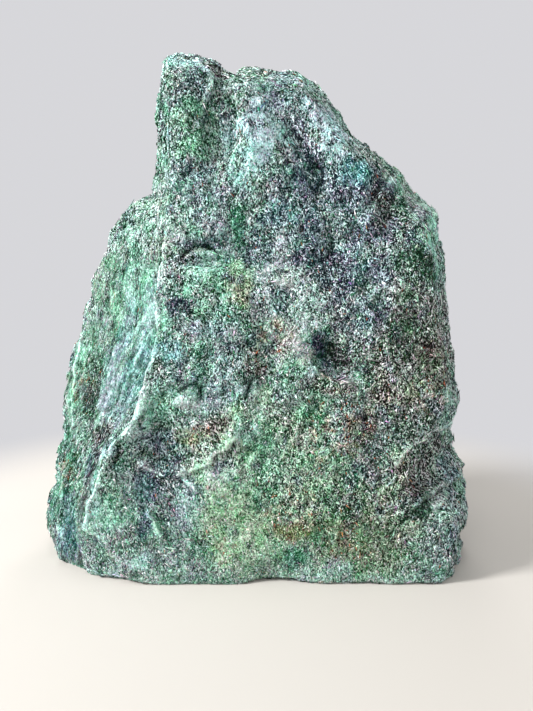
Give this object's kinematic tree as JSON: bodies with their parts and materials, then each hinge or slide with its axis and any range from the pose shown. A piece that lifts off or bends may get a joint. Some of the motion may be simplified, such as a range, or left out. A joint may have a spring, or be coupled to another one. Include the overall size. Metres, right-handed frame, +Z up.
{
  "type": "mineral specimen",
  "caption": "Upright slab of raw green mica schist with a flat foot, a stepped shoulder and a sloping, notched top; it stands by itself.",
  "frame": {"origin": "middle of the bottom of the stone's box, on the surface that it stands on", "axes": "+Z up, +X to the right as seen from the front, +Y from the front face to the back face, across the mica sheets"},
  "size_m": [0.1592, 0.0628, 0.1774],
  "materials": {
    "stone": "broken mica schist: mint, dark green, blue-grey and rust flecks, pearly where the flakes catch light"
  },
  "bodies": {
    "root": {"fuchsite": "stone"}
  },
  "joints": []
}
